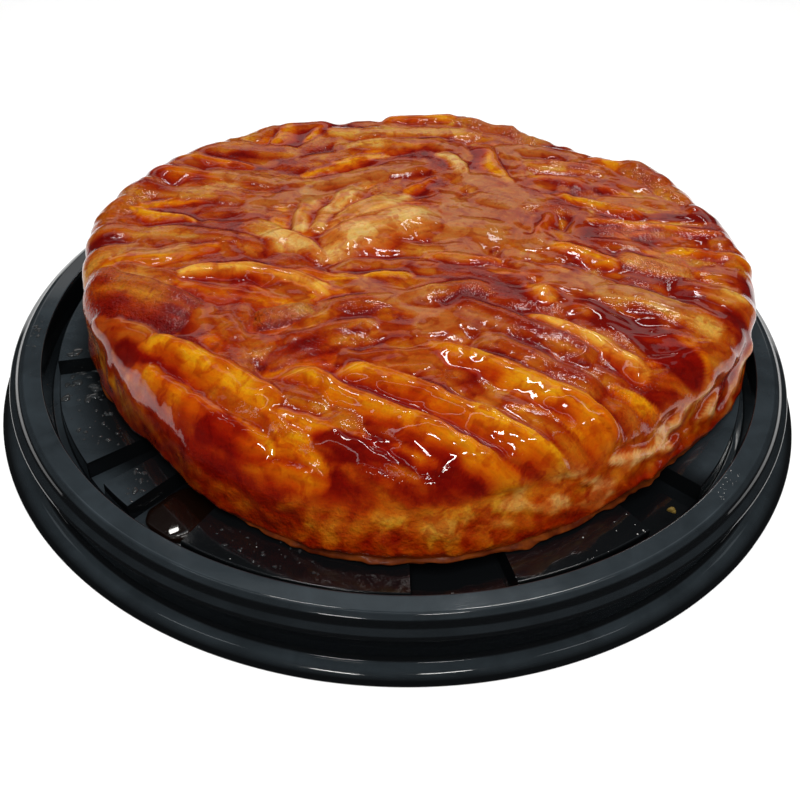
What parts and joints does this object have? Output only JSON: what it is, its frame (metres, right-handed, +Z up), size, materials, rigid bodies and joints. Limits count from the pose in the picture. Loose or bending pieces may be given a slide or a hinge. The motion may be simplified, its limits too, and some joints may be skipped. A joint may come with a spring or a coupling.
{
  "type": "tarte tatin",
  "caption": "Round upside-down apple tart with glazed apple slices on a cooked apple layer and pastry base, standing on a black plastic cake tray.",
  "frame": {"origin": "on the table, under the middle of the tray", "axes": "+Z up, +Y away from someone who looks at the front of the tart, +X to their right"},
  "size_m": [0.31, 0.31, 0.0518],
  "materials": {
    "black_plastic": "gloss black thermoformed sheet, smeared with syrup",
    "baked_pastry": "browned pastry soaked with caramel, wet at the side",
    "cooked_apple": "soft cooked apple, amber, mottled, wet and glossy",
    "apple_gold": "golden apple under clear glaze",
    "apple_amber": "orange caramelised apple under clear glaze",
    "apple_brown": "dark caramelised apple under glaze, grainy in places",
    "apple_pale": "pale cooked apple under a thin glaze"
  },
  "bodies": {
    "root": {"apple_layer": "cooked_apple", "pastry_base": "baked_pastry", "slice_amber_01": "apple_amber", "slice_amber_02": "apple_amber", "slice_amber_03": "apple_amber", "slice_amber_04": "apple_amber", "slice_amber_05": "apple_amber", "slice_amber_06": "apple_amber", "slice_amber_07": "apple_amber", "slice_amber_08": "apple_amber", "slice_amber_09": "apple_amber", "slice_amber_10": "apple_amber", "slice_amber_11": "apple_amber", "slice_amber_12": "apple_amber", "slice_amber_13": "apple_amber", "slice_amber_14": "apple_amber", "slice_amber_15": "apple_amber", "slice_amber_16": "apple_amber", "slice_amber_17": "apple_amber", "slice_amber_18": "apple_amber", "slice_amber_19": "apple_amber", "slice_brown_01": "apple_brown", "slice_brown_02": "apple_brown", "slice_brown_03": "apple_brown", "slice_brown_04": "apple_brown", "slice_brown_05": "apple_brown", "slice_brown_06": "apple_brown", "slice_brown_07": "apple_brown", "slice_brown_08": "apple_brown", "slice_brown_09": "apple_brown", "slice_brown_10": "apple_brown", "slice_brown_11": "apple_brown", "slice_brown_12": "apple_brown", "slice_brown_13": "apple_brown", "slice_brown_14": "apple_brown", "slice_brown_15": "apple_brown", "slice_brown_16": "apple_brown", "slice_brown_17": "apple_brown", "slice_brown_18": "apple_brown", "slice_brown_19": "apple_brown", "slice_brown_20": "apple_brown", "slice_brown_21": "apple_brown", "slice_gold_01": "apple_gold", "slice_gold_02": "apple_gold", "slice_gold_03": "apple_gold", "slice_gold_04": "apple_gold", "slice_gold_05": "apple_gold", "slice_gold_06": "apple_gold", "slice_gold_07": "apple_gold", "slice_gold_08": "apple_gold", "slice_gold_09": "apple_gold", "slice_gold_10": "apple_gold", "slice_gold_11": "apple_gold", "slice_pale_01": "apple_pale", "slice_pale_02": "apple_pale", "slice_pale_03": "apple_pale", "slice_pale_04": "apple_pale", "slice_pale_05": "apple_pale", "tray": "black_plastic"}
  },
  "joints": []
}
